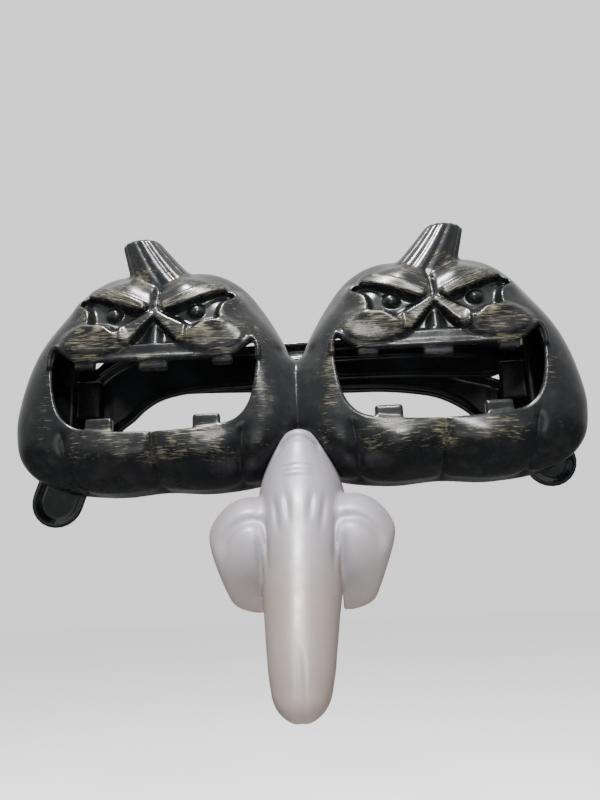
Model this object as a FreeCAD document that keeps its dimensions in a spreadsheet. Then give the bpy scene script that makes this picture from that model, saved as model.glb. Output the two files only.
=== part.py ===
import FreeCAD, Part
import math
import os

# Novelty jack-o'-lantern eyeglasses with a hooked witch nose, folded.
# Millimetres. +Z is up as worn, the front faces -Y, and +X is the side of the
# temple arm that folds first. The origin is where the bridge bears on the
# wearer's nose: in the symmetry plane, on the plane of the shells' back rims.

doc = FreeCAD.newDocument("pumpkin_glasses")
V = FreeCAD.Vector

# ---------------------------------------------------------------- dimensions

DIMENSIONS = {
    # pumpkin shells
    "pumpkin_spacing": 83.5,    # centre to centre
    "shell_depth": 24.0,        # front face to back rim
    "shell_wall": 1.8,
    "shell_bottom": -27.6,
    "shell_top": 42.5,
    "shell_foot": 53.4,         # half width of the sides' lines at the bottom
    "shell_lean": 0.38,         # how far the sides lean in for each unit of height
    "shell_bottom_round": 22.0,
    "shell_top_round": 19.0,
    "shell_front_round": 9.0,
    # mouth openings
    "mouth_bottom": -11.3,
    "mouth_top": 11.2,
    "mouth_half_bottom": 26.8,
    "mouth_half_top": 29.2,
    "grin_rise": 4.2,
    "grin_width": 11.0,
    "grin_tip": 2.5,            # how far the corner's tip is inside the lip's end
    "tooth_thick": 2.2,
    # faces
    "eye_offset": 12.1,
    "eye_height": 26.0,
    "eye_radius": 2.4,
    "brow_length": 17.0,
    "brow_tilt": 22.0,
    # stems
    "stem_base": 40.0,
    "stem_top": 55.0,
    # bridge and nose fixing
    "bridge_half": 12.0,
    "bridge_bottom": -12.8,
    "bridge_top": 10.4,
    "bridge_front": -21.0,
    "boss_radius": 2.7,
    "boss_end": -10.5,
    "screw_spacing": 11.0,
    "screw_height": -5.0,
    "screw_radius": 1.1,
    "screw_grip": 6.5,
    "screw_head_radius": 2.1,
    "screw_head_thick": 1.3,
    "tab_thick": 1.8,
    "tab_half": 8.6,
    "tab_top": 0.6,
    # nose
    "nose_wall": 1.6,
    "nose_back": -8.7,          # behind the screwed tab
    "nose_face_side": -15.0,    # open side, below the frame
    # temple arms and hinges
    "hinge_offset": 73.0,
    "front_arm_plane": 2.7,     # middle of the arm that folds first
    "rear_arm_plane": 6.2,      # middle of the arm folded behind it
    "arm_thick": 2.6,
    "arm_recess": 1.2,
    "arm_rim": 1.3,
    "root_bottom": 9.0,
    "root_top": 17.5,
    "barrel_radius": 1.9,
    "ear_radius": 2.0,
    "ear_thick": 2.0,
    "ear_gap": 0.2,
    "pin_radius": 0.9,
    "pin_clearance": 0.05,
    "pin_head_radius": 1.6,
    "pin_head_thick": 0.8,
}

sheet = doc.addObject("Spreadsheet::Sheet", "dims")
for row, (alias, value) in enumerate(DIMENSIONS.items(), start=1):
    sheet.set(f"A{row}", alias)
    sheet.set(f"B{row}", str(value))
    sheet.setAlias(f"B{row}", alias)
doc.recompute()


def dim(alias):
    return float(getattr(sheet, alias))


# ------------------------------------------------------------------- helpers

def bind(obj, **expressions):
    """Bind properties to sheet expressions; names use __ for a dot."""
    for prop, text in expressions.items():
        obj.setExpression(prop.replace("__", "."), text)
    return obj


def place(obj, x, y, z):
    return bind(obj, Placement__Base__x=x, Placement__Base__y=y, Placement__Base__z=z)


def box(name, x, y, z, length, width, height):
    obj = doc.addObject("Part::Box", name)
    bind(obj, Length=length, Width=width, Height=height)
    return place(obj, x, y, z)


def cylinder(name, x, y, z, radius, height, axis=V(0, 0, 1)):
    obj = doc.addObject("Part::Cylinder", name)
    obj.Placement.Rotation = FreeCAD.Rotation(V(0, 0, 1), axis)
    bind(obj, Radius=radius, Height=height)
    return place(obj, x, y, z)


def ellipsoid(name, x, y, z, half_x, half_y, half_z):
    obj = doc.addObject("Part::Ellipsoid", name)
    bind(obj, Radius1=half_z, Radius2=half_x, Radius3=half_y)
    return place(obj, x, y, z)


def fuse(name, shapes):
    obj = doc.addObject("Part::MultiFuse", name)
    obj.Shapes = shapes
    return obj


def cut(name, base, tool):
    obj = doc.addObject("Part::Cut", name)
    obj.Base = base
    obj.Tool = tool
    return obj


def common(name, base, tool):
    obj = doc.addObject("Part::Common", name)
    obj.Base = base
    obj.Tool = tool
    return obj


def feature(name, shape):
    obj = doc.addObject("Part::Feature", name)
    obj.Shape = shape
    return obj


def loft(name, wires):
    obj = doc.addObject("Part::Loft", name)
    obj.Sections = [feature(f"{name}_section_{i}", wire) for i, wire in enumerate(wires)]
    obj.Solid = True
    return obj


# ------------------------------------------------------------- pumpkin shape

def edges_where(obj, test):
    """Numbers of the edges whose every vertex passes the test."""
    return [index for index, edge in enumerate(obj.Shape.Edges, start=1)
            if all(test(vertex.Point) for vertex in edge.Vertexes)]


def rounded(name, base, radii):
    """Fillet of a shape: radii is a list of (edge numbers, radius)."""
    obj = doc.addObject("Part::Fillet", name)
    obj.Base = base
    obj.Edges = [(index, radius, radius) for indices, radius in radii for index in indices]
    doc.recompute()
    return obj


def pumpkin_solid(name, inset, back):
    """One pumpkin about its own middle, or its hollow when inset is the wall."""
    lean = dim("shell_lean")
    slant = inset * math.sqrt(1 + lean ** 2)
    bottom, top = dim("shell_bottom") + inset, dim("shell_top") - inset
    foot = dim("shell_foot") - lean * inset - slant
    head = dim("shell_foot") - lean * (top - dim("shell_bottom")) - slant
    depth = dim("shell_depth") - inset
    block = doc.addObject("Part::Wedge", name + "_block")
    bind(block, Xmin=f"-{foot}", Xmax=f"{foot}", X2min=f"-{head}", X2max=f"{head}",
         Ymin=f"{bottom}", Ymax=f"{top}", Zmin=f"{-back}", Zmax=f"{depth}",
         Z2min=f"{-back}", Z2max=f"{depth}")
    block.Placement.Rotation = FreeCAD.Rotation(V(1, 0, 0), 90)
    doc.recompute()

    def edges_along_y(test_z):
        return [index for index, edge in enumerate(block.Shape.Edges, start=1)
                if abs(edge.Vertexes[0].Point.y - edge.Vertexes[-1].Point.y) > 1
                and abs(edge.Vertexes[0].Point.z - test_z) < 0.01]
    body = rounded(name + "_sides", block,
                   [(edges_along_y(bottom), dim("shell_bottom_round") - inset),
                    (edges_along_y(top), dim("shell_top_round") - inset)])
    front = edges_where(body, lambda point: abs(point.y + depth) < 0.01)
    return rounded(name, body, [(front, dim("shell_front_round") - inset)])


# ------------------------------------------------------------------ one half

MIDDLE = "dims.pumpkin_spacing / 2"     # the right pumpkin's own middle
MOUTH_BACK = "-4"               # the mouth is cut through everything in front of this


def mouth_wedge(name, low, high, foot, head):
    """Block through the face; foot and head are its x ranges at its two heights."""
    obj = doc.addObject("Part::Wedge", name)
    bind(obj, Xmin=foot[0], Xmax=foot[1], X2min=head[0], X2max=head[1], Ymin=low, Ymax=high,
         Zmin="0", Zmax="dims.shell_depth", Z2min="0", Z2max="dims.shell_depth")
    obj.Placement.Rotation = FreeCAD.Rotation(V(1, 0, 0), 90)
    return place(obj, MIDDLE, MOUTH_BACK, "0")


def mouth():
    """Mouth opening: a block wider at the lip, with two raised grin corners."""
    pieces = [mouth_wedge("mouth_opening", "dims.mouth_bottom", "dims.mouth_top",
                          ["-dims.mouth_half_bottom", "dims.mouth_half_bottom"],
                          ["-dims.mouth_half_top", "dims.mouth_half_top"])]
    for word, hand in (("left", -1), ("right", 1)):
        foot = [f"{hand} * (dims.mouth_half_top - dims.grin_width)",
                f"{hand} * dims.mouth_half_top"]
        head = [f"{hand} * (dims.mouth_half_top - 1.4 * dims.grin_tip)",
                f"{hand} * (dims.mouth_half_top - dims.grin_tip)"]
        # both ranges run from low x to high x on either hand
        pieces.append(mouth_wedge(f"grin_{word}", "dims.mouth_top - 0.5",
                                  "dims.mouth_top + dims.grin_rise",
                                  foot[::hand], head[::hand]))
    return fuse("mouth", pieces)


# Teeth: (offset from the pumpkin's middle, width, height, jaw).
TEETH = [(0.0, 8.8, 3.6, "upper"), (-20.4, 6.2, 2.5, "upper"), (20.4, 6.2, 2.5, "upper"),
         (-15.6, 8.0, 4.4, "lower"), (15.6, 8.0, 4.4, "lower")]
TOOTH_ROOT = 1.6                # how far a tooth runs into the lip
TOOTH_SET_BACK = 0.9            # from the foremost plane of the shell


def teeth():
    blocks = []
    for index, (offset, width, height, jaw) in enumerate(TEETH):
        left = f"{MIDDLE} + {offset - width / 2}"
        low = f"dims.mouth_top - {height}"
        if jaw == "lower":
            low = f"dims.mouth_bottom - {TOOTH_ROOT}"
        blocks.append(box(f"tooth_{index}", left, f"-dims.shell_depth + {TOOTH_SET_BACK}", low,
                          str(width), "dims.tooth_thick", str(height + TOOTH_ROOT)))
    return blocks


BROW_HEIGHT = 29.0
BROW_SIZE = 3.6
BROW_DEEP = 4.0
BROW_FORWARD = 1.0              # a brow stands this far in front of the eyes' middles
FACE_FRONT = 23.2               # how far in front of the rim the eyes' middles are


def face():
    """Eyeballs and slanting brows moulded on the front."""
    pieces = []
    turn = math.radians(dim("brow_tilt"))
    for word, hand in (("left", -1), ("right", 1)):
        eye_x = f"{MIDDLE} + {hand} * dims.eye_offset"
        eye = doc.addObject("Part::Sphere", f"face_{word}_eye")
        bind(eye, Radius="dims.eye_radius")
        pieces.append(place(eye, eye_x, str(-FACE_FRONT), "dims.eye_height"))
        brow = doc.addObject("Part::Box", f"face_{word}_brow")
        brow.Placement.Rotation = FreeCAD.Rotation(V(0, 1, 0), -hand * dim("brow_tilt"))
        bind(brow, Length="dims.brow_length", Width=str(BROW_DEEP), Height=str(BROW_SIZE))
        start = -dim("brow_length") / 2 * math.cos(turn)
        rise = -hand * dim("brow_length") / 2 * math.sin(turn)
        pieces.append(place(brow, f"{eye_x} + {start:.3f}", str(-FACE_FRONT - BROW_FORWARD),
                            f"{BROW_HEIGHT} + {rise:.3f}"))
    return pieces


# Rings of a stem: (share of its height, half width, half depth, outward lean).
STEM_RINGS = [(0.0, 8.2, 6.0, -5.0), (0.4, 6.0, 5.0, -3.6), (0.75, 4.6, 4.2, -1.0),
              (1.0, 4.3, 4.0, 2.2)]
STEM_ROOT = 4.0                 # how far a stem starts below the pumpkin's top
STEM_MIDDLE = -10.0             # along Y


def stem():
    """Stalk that leans outward as it rises."""
    bottom, top = dim("stem_base") - STEM_ROOT, dim("stem_top")
    wires = []
    for share, half_x, half_y, lean in STEM_RINGS:
        ring = Part.Wire(Part.Circle(V(0, 0, 0), V(0, 0, 1), 1).toShape())
        matrix = FreeCAD.Matrix()
        matrix.scale(half_x, half_y, 1)
        matrix.move(V(dim("pumpkin_spacing") / 2 + lean, STEM_MIDDLE,
                      bottom + share * (top - bottom)))
        wires.append(ring.transformGeometry(matrix))
    return loft("stem", wires)


LUG_WIDE = 9.0
LUG_DEEP = 7.0
STALK_ROOT = 3.0                # how far an ear's stalk runs into the shell


def hinge_block(name, side, plane, outside):
    """Lug inside the outer wall, with two ears that hold the hinge pin."""
    reach = "dims.hinge_offset - dims.ear_radius"
    left = reach if side > 0 else f"-({reach}) - {LUG_WIDE}"
    low = "dims.root_bottom - dims.ear_gap - dims.ear_thick"
    tall = "dims.root_top - dims.root_bottom + 2 * dims.ear_gap + 2 * dims.ear_thick"
    block = box(name + "_block", left, str(-LUG_DEEP), low, str(LUG_WIDE), str(LUG_DEEP), tall)
    lug = common(name + "_lug", block, outside)
    ears = []
    for word, z in (("lower", low), ("upper", "dims.root_top + dims.ear_gap")):
        stalk = box(f"{name}_{word}_stalk", f"{side} * dims.hinge_offset - dims.ear_radius",
                    str(-STALK_ROOT), z, "2 * dims.ear_radius", f"{STALK_ROOT} + {plane}",
                    "dims.ear_thick")
        ring = cylinder(f"{name}_{word}_ring", f"{side} * dims.hinge_offset", plane, z,
                        "dims.ear_radius", "dims.ear_thick")
        ears += [stalk, ring]
    return [lug] + ears


# --------------------------------------------------------------- front frame

SIDES = {"left": (-1, "dims.rear_arm_plane"), "right": (1, "dims.front_arm_plane")}


def half_shell():
    """The right pumpkin's solid outside, and its open shell with the mouth."""
    outside = pumpkin_solid("pumpkin_outside", 0.0, 0.0)
    hollow = pumpkin_solid("pumpkin_hollow", dim("shell_wall"), 1.0)
    for solid in (outside, hollow):
        place(solid, MIDDLE, "0", "0")
    shell = cut("shell", outside, hollow)
    return outside, cut("open_shell", shell, mouth())


def mirrored(name, source):
    obj = doc.addObject("Part::Mirroring", name)
    obj.Source = source
    obj.Normal = V(1, 0, 0)
    return obj


PLATE_THICK = 2.4
POCKET_GAP = 0.6                # beside and above the nose's tab
POCKET_DROP = 6.0               # how far the tab's pocket runs below the bridge
NOSE_GAP = 0.35                 # between the nose and the frame around it


def front_frame():
    outside, right_half = half_shell()
    # nothing of the stem shows inside the shell
    stalk = cut("trimmed_stem", stem(), ellipsoid("stem_root", MIDDLE, "0", "8", "30", "20", "27"))
    right_face = fuse("right_half", [right_half, stalk] + teeth() + face())
    left_face = mirrored("left_half", right_face)
    plate = box("bridge_plate", "-dims.bridge_half", "dims.bridge_front", "dims.bridge_bottom",
                "2 * dims.bridge_half", str(PLATE_THICK), "dims.bridge_top - dims.bridge_bottom")
    bosses = [cylinder(f"boss_{word}", f"{side} * dims.screw_spacing / 2", "dims.bridge_front",
                       "dims.screw_height", "dims.boss_radius",
                       "dims.boss_end - dims.bridge_front", V(0, 1, 0))
              for word, (side, _) in SIDES.items()]
    lugs = hinge_block("right_hinge", 1, SIDES["right"][1], outside)
    lugs += hinge_block("left_hinge", -1, SIDES["left"][1], mirrored("left_outside", outside))
    pocket = box("nose_pocket", f"-dims.tab_half - {POCKET_GAP}", "dims.boss_end",
                 f"dims.bridge_bottom - {POCKET_DROP}", f"2 * (dims.tab_half + {POCKET_GAP})", "20",
                 f"dims.tab_top - dims.bridge_bottom + {POCKET_DROP + POCKET_GAP}")
    body = cut("pocketed", fuse("moulding", [right_face, left_face, plate] + bosses + lugs), pocket)

    holes = [cylinder(f"boss_hole_{word}", f"{side} * dims.screw_spacing / 2",
                      "dims.boss_end - dims.screw_grip", "dims.screw_height",
                      "dims.screw_radius", "dims.screw_grip + 2", V(0, 1, 0))
             for word, (side, _) in SIDES.items()]
    holes += [cylinder(f"ear_hole_{word}", f"{side} * dims.hinge_offset", plane,
                       "dims.root_bottom - 5", "dims.pin_radius",
                       "dims.root_top - dims.root_bottom + 10")
              for word, (side, plane) in SIDES.items()]
    frame = cut("front_frame_body", body, fuse("frame_holes", holes))
    frame_clear = cut("front_frame_clear", frame, nose_solid("nose_room", -NOSE_GAP))
    frame_clear.Label = "front_frame"
    return frame_clear


# ---------------------------------------------------------------- witch nose

# The nose is a chain of balls down its ridge, joined by cones:
# (distance along Y, height, radius).
NOSE_CHAIN = [(-15.6, -17.0, 6.6), (-24.0, -40.0, 16.0), (-43.0, -62.0, 9.6), (-56.5, -77.6, 5.6)]
WING_PLACE = (14.2, -22.0, -47.5)
WING_RADIUS = 10.6


def nose_solid(name, inset):
    """The nose's outside, or its hollow when inset is the wall."""
    pieces = []
    centres = [V(0, y, z) for y, z, _ in NOSE_CHAIN]
    radii = [radius - inset for _, _, radius in NOSE_CHAIN]
    for index, (centre, radius) in enumerate(zip(centres, radii)):
        ball = doc.addObject("Part::Sphere", f"{name}_ball_{index}")
        ball.Radius = radius
        ball.Placement.Base = centre
        pieces.append(ball)
    for index, (first, second) in enumerate(zip(centres, centres[1:])):
        cone = doc.addObject("Part::Cone", f"{name}_cone_{index}")
        span = second - first
        # the cone touches both balls, so it leaves each a little off its middle
        sine = (radii[index] - radii[index + 1]) / span.Length
        cosine = math.sqrt(1 - sine ** 2)
        along = V(span).normalize()
        start = first + along * radii[index] * sine
        finish = second + along * radii[index + 1] * sine
        cone.Radius1 = radii[index] * cosine
        cone.Radius2 = radii[index + 1] * cosine
        cone.Height = (finish - start).Length
        cone.Placement = FreeCAD.Placement(start, FreeCAD.Rotation(V(0, 0, 1), along))
        pieces.append(cone)
    for word, (side, _) in SIDES.items():
        wing = doc.addObject("Part::Sphere", f"{name}_wing_{word}")
        wing.Radius = WING_RADIUS - inset
        x, y, z = WING_PLACE
        wing.Placement.Base = V(side * x, y, z)
        pieces.append(wing)
    return fuse(name, pieces)


# The open back is cut by a plane that leans forward towards the tip.
BACK_CUT_START = V(0, -14.0, -50.0)
BACK_CUT_LEAN = 55.0


def witch_nose():
    outside = nose_solid("nose_outside", 0.0)
    hollow = nose_solid("nose_hollow", dim("nose_wall"))
    behind = doc.addObject("Part::Box", "nose_behind")
    bind(behind, Length="80", Width="60", Height="120")
    lean = FreeCAD.Rotation(V(1, 0, 0), -BACK_CUT_LEAN)
    behind.Placement = FreeCAD.Placement(BACK_CUT_START + lean.multVec(V(-40, 0, -100)), lean)
    top_behind = box("nose_top_behind", "-40", "dims.nose_back", "-60", "80", "40", "60")
    face_side = box("nose_face_side", "-40", "dims.nose_face_side",
                    "-100", "80", "40", f"dims.bridge_bottom - {POCKET_DROP} + 100")
    shell = cut("nose_shell", outside,
                fuse("nose_removed", [hollow, behind, top_behind, face_side]))
    tab = box("nose_tab", "-dims.tab_half", "dims.boss_end", "dims.bridge_bottom - 4",
              "2 * dims.tab_half", "dims.tab_thick", "dims.tab_top - dims.bridge_bottom + 4")
    holes = [cylinder(f"tab_hole_{word}", f"{side} * dims.screw_spacing / 2", "dims.boss_end - 1",
                      "dims.screw_height", "dims.screw_radius + 0.1", "dims.tab_thick + 2",
                      V(0, 1, 0))
             for word, (side, _) in SIDES.items()]
    nose = cut("witch_nose_body", fuse("nose_with_tab", [shell, tab]), fuse("tab_holes", holes))
    nose.Label = "witch_nose"
    return nose


# --------------------------------------------------------------- temple arms

# Middle line of each arm from its hinge to the tip of its ear piece, and the
# half height of the arm there: (distance from the hinge, height, half height).
# The root is level, the long part is arched, and the ear piece hooks down and
# outward to a spoon-shaped end. The arm folded at the back has a slim neck, so
# that the front arm's root clears it.
ARM_LINES = {
    "right": [(0.0, 13.25, 4.25), (18.0, 13.4, 4.2), (29.0, 15.5, 5.0), (42.0, 16.5, 5.1),
              (73.0, 16.2, 5.6), (90.0, 15.7, 5.6), (106.0, 15.2, 5.7), (118.0, 14.2, 6.0),
              (127.0, 11.4, 6.6), (134.0, 6.2, 7.3), (139.0, -0.8, 7.6), (143.5, -10.5, 7.7),
              (148.5, -20.0, 8.2), (151.0, -27.0, 8.2)],
    "left": [(0.0, 13.25, 4.25), (18.0, 13.25, 4.25), (42.0, 13.6, 4.2), (72.0, 13.2, 5.2),
             (88.0, 12.0, 5.0), (100.0, 10.0, 3.8), (110.0, 7.6, 2.6), (119.0, 6.0, 2.6),
             (127.0, 3.0, 4.4), (134.0, -2.0, 6.6), (141.0, -8.6, 7.6), (147.5, -14.8, 8.0),
             (151.5, -20.4, 8.2)],
}


def arm_outline(word, side, plane, inset):
    """Closed outline of an arm, drawn on its inner face, shrunk by inset."""
    hinge = dim("hinge_offset")
    line = ARM_LINES[word]
    middle = [V(side * (hinge - reach), 0, z) for reach, z, _ in line]
    halves = [half - inset for _, _, half in line]
    upper = []
    lower = []
    for index, point in enumerate(middle):
        before = middle[max(index - 1, 0)]
        after = middle[min(index + 1, len(middle) - 1)]
        along = (after - before).normalize()
        across = V(-along.z, 0, along.x)
        upper.append(point + across * halves[index])
        lower.append(point - across * halves[index])
    along = (middle[-1] - middle[-2]).normalize()
    tip = middle[-1] + along * halves[-1]
    start = V(0, 0, 0) if inset == 0 else V(-side * 4.0, 0, 0)
    for row in (upper, lower):
        row[0] = row[0] + start
    face_y = plane - dim("arm_thick") / 2
    shift = V(0, face_y, 0)
    top_curve, bottom_curve = Part.BSplineCurve(), Part.BSplineCurve()
    top_curve.interpolate([p + shift for p in upper])
    bottom_curve.interpolate([p + shift for p in lower])
    end = Part.Arc(upper[-1] + shift, tip + shift, lower[-1] + shift)
    root = Part.LineSegment(lower[0] + shift, upper[0] + shift)
    return Part.Wire(Part.sortEdges([top_curve.toShape(), end.toShape(),
                                     bottom_curve.toShape(), root.toShape()])[0])


def extrude(name, wire, length):
    obj = doc.addObject("Part::Extrusion", name)
    obj.Base = feature(name + "_outline", wire)
    obj.DirMode = "Custom"
    obj.Dir = V(0, 1, 0)
    obj.Solid = True
    bind(obj, LengthFwd=length)
    return obj


def temple_arm(word, side, plane):
    middle = dim(plane.split(".")[1])
    blade = extrude(f"{word}_blade", arm_outline(word, side, middle, 0), "dims.arm_thick")
    recess = extrude(f"{word}_recess", arm_outline(word, side, middle, dim("arm_rim")),
                     "dims.arm_recess")
    barrel = cylinder(f"{word}_barrel", f"{side} * dims.hinge_offset", plane, "dims.root_bottom",
                      "dims.barrel_radius", "dims.root_top - dims.root_bottom")
    bore = cylinder(f"{word}_bore", f"{side} * dims.hinge_offset", plane, "dims.root_bottom - 1",
                    "dims.pin_radius + dims.pin_clearance",
                    "dims.root_top - dims.root_bottom + 2")
    channel = cut(f"{word}_channel", blade, recess)
    arm = cut(f"{word}_arm", fuse(f"{word}_arm_solid", [channel, barrel]), bore)
    arm.Label = f"temple_arm_{word}"
    return arm


# ----------------------------------------------------------------- fasteners

def hinge_pin(word, side, plane):
    x = f"{side} * dims.hinge_offset"
    low = "dims.root_bottom - dims.ear_gap - dims.ear_thick"
    top = "dims.root_top + dims.ear_gap + dims.ear_thick"
    shank = cylinder(f"{word}_pin_shank", x, plane, low, "dims.pin_radius", f"{top} - ({low})")
    head = cylinder(f"{word}_pin_head", x, plane, top, "dims.pin_head_radius",
                    "dims.pin_head_thick")
    pin = fuse(f"{word}_pin", [shank, head])
    pin.Label = f"hinge_pin_{word}"
    return pin


def nose_screw(word, side):
    x = f"{side} * dims.screw_spacing / 2"
    seat = "dims.boss_end + dims.tab_thick"
    shank = cylinder(f"{word}_screw_shank", x, "dims.boss_end - dims.screw_grip",
                     "dims.screw_height", "dims.screw_radius",
                     "dims.screw_grip + dims.tab_thick", V(0, 1, 0))
    head = cylinder(f"{word}_screw_head", x, seat, "dims.screw_height",
                    "dims.screw_head_radius", "dims.screw_head_thick", V(0, 1, 0))
    slot = box(f"{word}_screw_slot", f"{x} - 0.3", f"{seat} + dims.screw_head_thick - 0.6",
               "dims.screw_height - 3", "0.6", "1", "6")
    screw = cut(f"{word}_screw", fuse(f"{word}_screw_solid", [shank, head]), slot)
    screw.Label = f"nose_screw_{word}"
    return screw


# ------------------------------------------------------------------ assembly

def build():
    parts = [front_frame(), witch_nose()]
    for word, (side, plane) in SIDES.items():
        parts.append(temple_arm(word, side, plane))
        parts.append(hinge_pin(word, side, plane))
        parts.append(nose_screw(word, side))
    doc.recompute()
    for obj in doc.Objects:
        if "Invalid" in obj.State or "Error" in obj.State:
            raise RuntimeError(f"{obj.Label} did not rebuild: {obj.State}")
    for part in parts:
        shape = part.Shape
        if shape.isNull() or not shape.isValid() or not shape.Solids:
            raise RuntimeError(f"{part.Label} is not a valid solid")
        print(f"{part.Label}: {len(shape.Solids)} solid, {shape.Volume / 1000:.2f} cm3, "
              f"{shape.BoundBox}")
    return parts


def export(parts):
    os.makedirs("parts", exist_ok=True)
    for part in parts:
        part.Shape.exportStep(f"parts/{part.Label}.step")


export(build())
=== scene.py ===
import math

import bpy
import numpy as np
from mathutils import Matrix, Vector


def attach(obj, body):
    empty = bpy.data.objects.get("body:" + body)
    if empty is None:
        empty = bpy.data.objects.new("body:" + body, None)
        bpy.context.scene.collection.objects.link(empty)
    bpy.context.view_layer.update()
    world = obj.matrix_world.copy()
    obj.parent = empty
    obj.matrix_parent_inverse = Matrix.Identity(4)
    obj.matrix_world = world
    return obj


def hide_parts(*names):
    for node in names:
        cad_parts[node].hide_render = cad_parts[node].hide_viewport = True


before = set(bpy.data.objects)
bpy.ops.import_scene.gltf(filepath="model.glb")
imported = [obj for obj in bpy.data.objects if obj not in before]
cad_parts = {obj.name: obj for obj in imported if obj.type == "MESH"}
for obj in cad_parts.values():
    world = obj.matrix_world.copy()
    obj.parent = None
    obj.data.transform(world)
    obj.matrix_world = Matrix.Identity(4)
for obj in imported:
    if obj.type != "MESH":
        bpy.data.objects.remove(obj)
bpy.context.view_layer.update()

# Folding jack-o'-lantern glasses with a witch nose. Lengths in the sculpting code are
# millimetres in the frame's own axes, and meshes are scaled to metres as they are made.

MM = 0.001
FRONT, ARM_RIGHT, ARM_LEFT = "front", "arm_right", "arm_left"

# ------------------------------------------------------------------ sculpting with fields
#
# A solid is an array of signed distances on a grid, negative inside.


class Grid:
    """Points of a regular grid, as three arrays that broadcast against each other."""

    def __init__(self, low, high, step):
        self.low = np.array(low, float)
        self.step = step
        axes = [np.arange(a, b + step, step, dtype=np.float32) for a, b in zip(low, high)]
        self.x = axes[0][:, None, None]
        self.y = axes[1][None, :, None]
        self.z = axes[2][None, None, :]


def smooth_min(a, b, k):
    h = np.maximum(k - np.abs(a - b), 0) / k
    return np.minimum(a, b) - h * h * k * 0.25


def smooth_max(a, b, k):
    return -smooth_min(-a, -b, k)


def ramp(x, a, b):
    """0 before a, 1 after b, eased between."""
    t = np.clip((x - a) / (b - a), 0, 1)
    return t * t * (3 - 2 * t)


def ellipsoid(g, centre, half):
    dx = (g.x - centre[0]) / half[0]
    dy = (g.y - centre[1]) / half[1]
    dz = (g.z - centre[2]) / half[2]
    k0 = np.sqrt(dx * dx + dy * dy + dz * dz)
    k1 = np.sqrt((dx / half[0]) ** 2 + (dy / half[1]) ** 2 + (dz / half[2]) ** 2)
    return k0 * (k0 - 1) / np.maximum(k1, 1e-6)


def ball(px, py, pz, centre, radius):
    return np.sqrt((px - centre[0]) ** 2 + (py - centre[1]) ** 2
                   + (pz - centre[2]) ** 2) - radius


def rounded_box(px, py, pz, half, r):
    qx = np.abs(px) - (half[0] - r)
    qy = np.abs(py) - (half[1] - r)
    qz = np.abs(pz) - (half[2] - r)
    outside = np.sqrt(np.maximum(qx, 0) ** 2 + np.maximum(qy, 0) ** 2 + np.maximum(qz, 0) ** 2)
    return outside + np.minimum(np.maximum(np.maximum(qx, qy), qz), 0) - r


def box_at(g, low, high, r):
    mid = [(a + b) / 2 for a, b in zip(low, high)]
    half = [(b - a) / 2 for a, b in zip(low, high)]
    return rounded_box(g.x - mid[0], g.y - mid[1], g.z - mid[2], half, r)


def segment_2d(u, v, a, b):
    """Distance to a segment, and how far along it (0 to 1) the nearest point is."""
    ax, ay = a
    bx, by = b
    dx, dy = bx - ax, by - ay
    t = np.clip(((u - ax) * dx + (v - ay) * dy) / (dx * dx + dy * dy), 0, 1)
    return np.hypot(u - ax - t * dx, v - ay - t * dy), t


def curve_points(points, closed, per_span=8):
    """Points of a smooth curve through the given ones (Catmull-Rom)."""
    p = np.array(points, float)
    n = len(p)
    out = []
    for i in range(n if closed else n - 1):
        if closed:
            a, b, c, d = (p[(i + j) % n] for j in (-1, 0, 1, 2))
        else:
            a, b, c, d = (p[min(max(i + j, 0), n - 1)] for j in (-1, 0, 1, 2))
        for t in np.arange(per_span) / per_span:
            out.append(0.5 * (2 * b + (c - a) * t + (2 * a - 5 * b + 4 * c - d) * t * t
                              + (3 * b - a - 3 * c + d) * t ** 3))
    if not closed:
        out.append(p[-1])
    return np.array(out)


def outline_2d(u, v, ring):
    """Signed distance to a closed outline, negative inside."""
    u, v = np.broadcast_arrays(u, v)
    best = np.full(u.shape, 1e9, np.float32)
    inside = np.zeros(u.shape, bool)
    for (ax, ay), (bx, by) in zip(ring, np.roll(ring, -1, axis=0)):
        d, _ = segment_2d(u, v, (ax, ay), (bx, by))
        best = np.minimum(best, d)
        if ay != by:
            crosses = ((ay > v) != (by > v)) & (u < (bx - ax) * (v - ay) / (by - ay) + ax)
            inside ^= crosses
    return np.where(inside, -best, best)


def smooth_table(z, rows, column):
    """Smooth interpolation of one column of a table against its first column."""
    rows = sorted(rows)
    keys = np.array([r[0] for r in rows], float)
    values = np.array([r[column] for r in rows], float)
    slopes = np.gradient(values, keys)
    z = np.clip(z, keys[0], keys[-1])
    i = np.clip(np.searchsorted(keys, z) - 1, 0, len(keys) - 2)
    width = keys[i + 1] - keys[i]
    t = (z - keys[i]) / width
    return (values[i] * (1 + 2 * t) * (1 - t) ** 2 + slopes[i] * width * t * (1 - t) ** 2
            + values[i + 1] * t * t * (3 - 2 * t) + slopes[i + 1] * width * t * t * (t - 1))


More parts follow.
